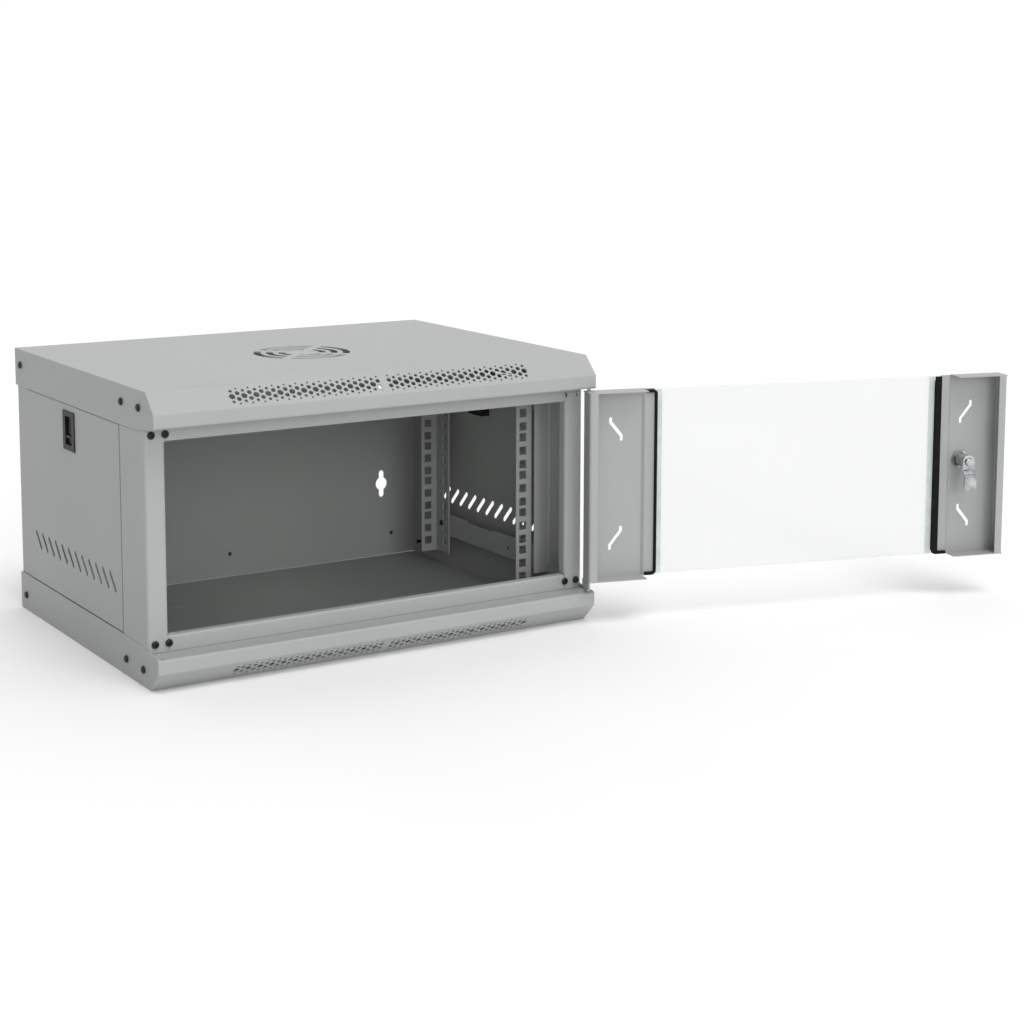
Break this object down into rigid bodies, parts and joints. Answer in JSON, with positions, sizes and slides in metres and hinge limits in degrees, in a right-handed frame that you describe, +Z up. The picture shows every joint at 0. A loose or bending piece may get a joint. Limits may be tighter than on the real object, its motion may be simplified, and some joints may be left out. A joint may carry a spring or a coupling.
{
  "type": "network server rack cabinet",
  "caption": "Wall-mount network rack cabinet in grey sheet steel with a glazed swing door, cam lock, slam-latched side panels and drilled rack rails inside",
  "frame": {"origin": "centre of the cabinet's underside, at mount base", "axes": "+X to the right seen from the front, +Y to the wall behind, +Z up; stored with the door open, as far as the picture shows it"},
  "size_m": [1.0284, 0.5648, 0.306],
  "materials": {
    "powder_coat": "fine satin powder coat, light grey",
    "black_plastic": "moulded black plastic",
    "black_steel": "black oxide screws",
    "rubber": "black rubber edge gasket",
    "chrome": "bright chrome and zinc plating",
    "spring_steel": "drawn spring wire",
    "glass": "clear toughened glass"
  },
  "bodies": {
    "cabinet": {"top_cover": "powder_coat", "bottom_cover": "powder_coat", "back_panel": "powder_coat", "front_post_left": "powder_coat", "front_post_right": "powder_coat", "frame_rail_top": "powder_coat", "frame_rail_bottom": "powder_coat", "rack_rail_front_left": "powder_coat", "rack_rail_front_right": "powder_coat", "rack_rail_rear_left": "powder_coat", "rack_rail_rear_right": "powder_coat", "depth_bracket_lower_left": "powder_coat", "depth_bracket_lower_right": "powder_coat", "depth_bracket_upper_left": "powder_coat", "depth_bracket_upper_right": "powder_coat", "hinge_pin_upper": "chrome", "hinge_pin_lower": "chrome", "front_screw_top_left_1": "black_steel", "front_screw_top_left_2": "black_steel", "side_screw_top_left_1": "black_steel", "side_screw_top_left_2": "black_steel", "side_screw_top_left_3": "black_steel", "front_screw_top_right_1": "chrome", "front_screw_top_right_2": "chrome", "side_screw_top_right_1": "black_steel", "side_screw_top_right_2": "black_steel", "side_screw_top_right_3": "black_steel", "front_screw_bottom_left_1": "black_steel", "front_screw_bottom_left_2": "black_steel", "side_screw_bottom_left_1": "black_steel", "side_screw_bottom_left_2": "black_steel", "side_screw_bottom_left_3": "black_steel", "front_screw_bottom_right_1": "black_steel", "front_screw_bottom_right_2": "black_steel", "side_screw_bottom_right_1": "black_steel", "side_screw_bottom_right_2": "black_steel", "side_screw_bottom_right_3": "black_steel"},
    "door": {"door_hinge_strip": "powder_coat", "door_lock_strip": "powder_coat", "door_glass": "glass", "door_gasket_hinge": "rubber", "door_gasket_lock": "rubber", "lock_barrel": "chrome", "lock_nut": "chrome"},
    "lock_cam": {"lock_plug": "chrome", "lock_cam": "chrome", "lock_cam_screw": "chrome"},
    "side_panel_left": {"side_panel_left": "powder_coat", "latch_housing_left": "black_plastic", "latch_spring_left": "spring_steel"},
    "latch_left": {"latch_slider_left": "black_plastic"},
    "side_panel_right": {"side_panel_right": "powder_coat", "latch_housing_right": "black_plastic", "latch_spring_right": "spring_steel"},
    "latch_right": {"latch_slider_right": "black_plastic"}
  },
  "joints": [
    {"name": "door_swing", "type": "hinge", "parent": "cabinet", "child": "door", "pos_m": [0.2585, -0.2015, 0.1585], "axis": [0, 0, 1], "range_deg": [-164.5, 15.5]},
    {"name": "lock_turn", "type": "hinge", "parent": "door", "child": "lock_cam", "pos_m": [0.70606, -0.34637, 0.165], "axis": [-0.2672, -0.9636, 0], "range_deg": [0, 90]},
    {"name": "side_panel_left_pull", "type": "slide", "parent": "cabinet", "child": "side_panel_left", "axis": [-1, 0, 0], "range_m": [0, 0.15]},
    {"name": "latch_left_slide", "type": "slide", "parent": "side_panel_left", "child": "latch_left", "axis": [0, 0, -1], "range_m": [0, 0.007], "stiffness_N_per_m": 250, "springref_m": -0.012, "deforming": ["latch_spring_left"]},
    {"name": "side_panel_right_pull", "type": "slide", "parent": "cabinet", "child": "side_panel_right", "axis": [1, 0, 0], "range_m": [0, 0.15]},
    {"name": "latch_right_slide", "type": "slide", "parent": "side_panel_right", "child": "latch_right", "axis": [0, 0, -1], "range_m": [0, 0.007], "stiffness_N_per_m": 250, "springref_m": -0.012, "deforming": ["latch_spring_right"]}
  ]
}
